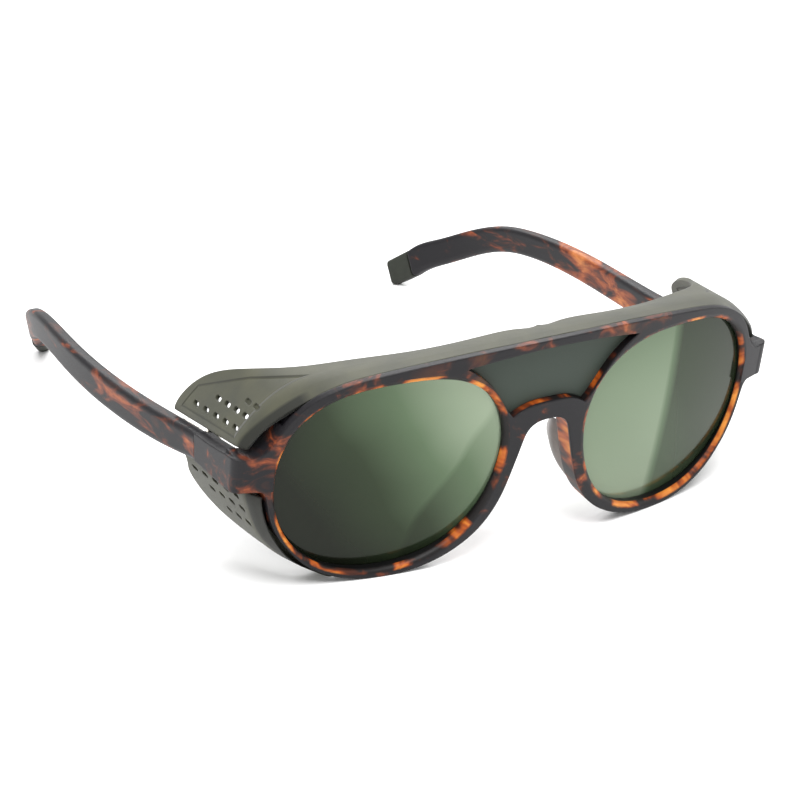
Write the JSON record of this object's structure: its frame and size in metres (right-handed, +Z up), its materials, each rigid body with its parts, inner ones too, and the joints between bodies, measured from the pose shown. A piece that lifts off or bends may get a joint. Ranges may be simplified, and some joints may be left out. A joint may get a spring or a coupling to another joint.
{
  "type": "glacier glasses",
  "caption": "Round glacier glasses with mirrored lenses, a keyhole bridge, hinged temples and a soft removable shield over the brow, nose gap and sides.",
  "frame": {"origin": "middle of the overall width and depth, on the surface that the glasses stand on", "axes": "+X to the wearer's left, +Y from the lenses back to the temple tips, +Z up"},
  "size_m": [0.1462, 0.1599, 0.053],
  "materials": {
    "tortoise": "matte tortoiseshell moulded nylon",
    "nose_pad": "smoky translucent brown, satin",
    "shield_rubber": "matte sage green soft rubber",
    "lens": "green mirror coating over a dark tint",
    "tip_rubber": "matte dark rubber",
    "hinge_steel": "brushed steel",
    "screw_steel": "turned steel"
  },
  "bodies": {
    "front": {"front_frame": "tortoise", "shield": "shield_rubber", "lens_right": "lens", "lens_left": "lens", "nose_pad_right": "nose_pad", "nose_pad_left": "nose_pad", "front_hinge_leaf_right": "hinge_steel", "front_hinge_leaf_left": "hinge_steel", "hinge_screw_right": "screw_steel", "hinge_screw_left": "screw_steel"},
    "right_temple": {"temple_right": "tortoise", "temple_tip_right": "tip_rubber", "temple_hinge_leaf_right": "hinge_steel"},
    "left_temple": {"temple_left": "tortoise", "temple_tip_left": "tip_rubber", "temple_hinge_leaf_left": "hinge_steel"}
  },
  "joints": [
    {"name": "right_temple_fold", "type": "hinge", "parent": "front", "child": "right_temple", "pos_m": [-0.0653, -0.04723, 0.0282], "axis": [0, 0, -1], "range_deg": [0, 78]},
    {"name": "left_temple_fold", "type": "hinge", "parent": "front", "child": "left_temple", "pos_m": [0.0653, -0.04723, 0.0282], "axis": [0, 0, 1], "range_deg": [0, 58]}
  ]
}
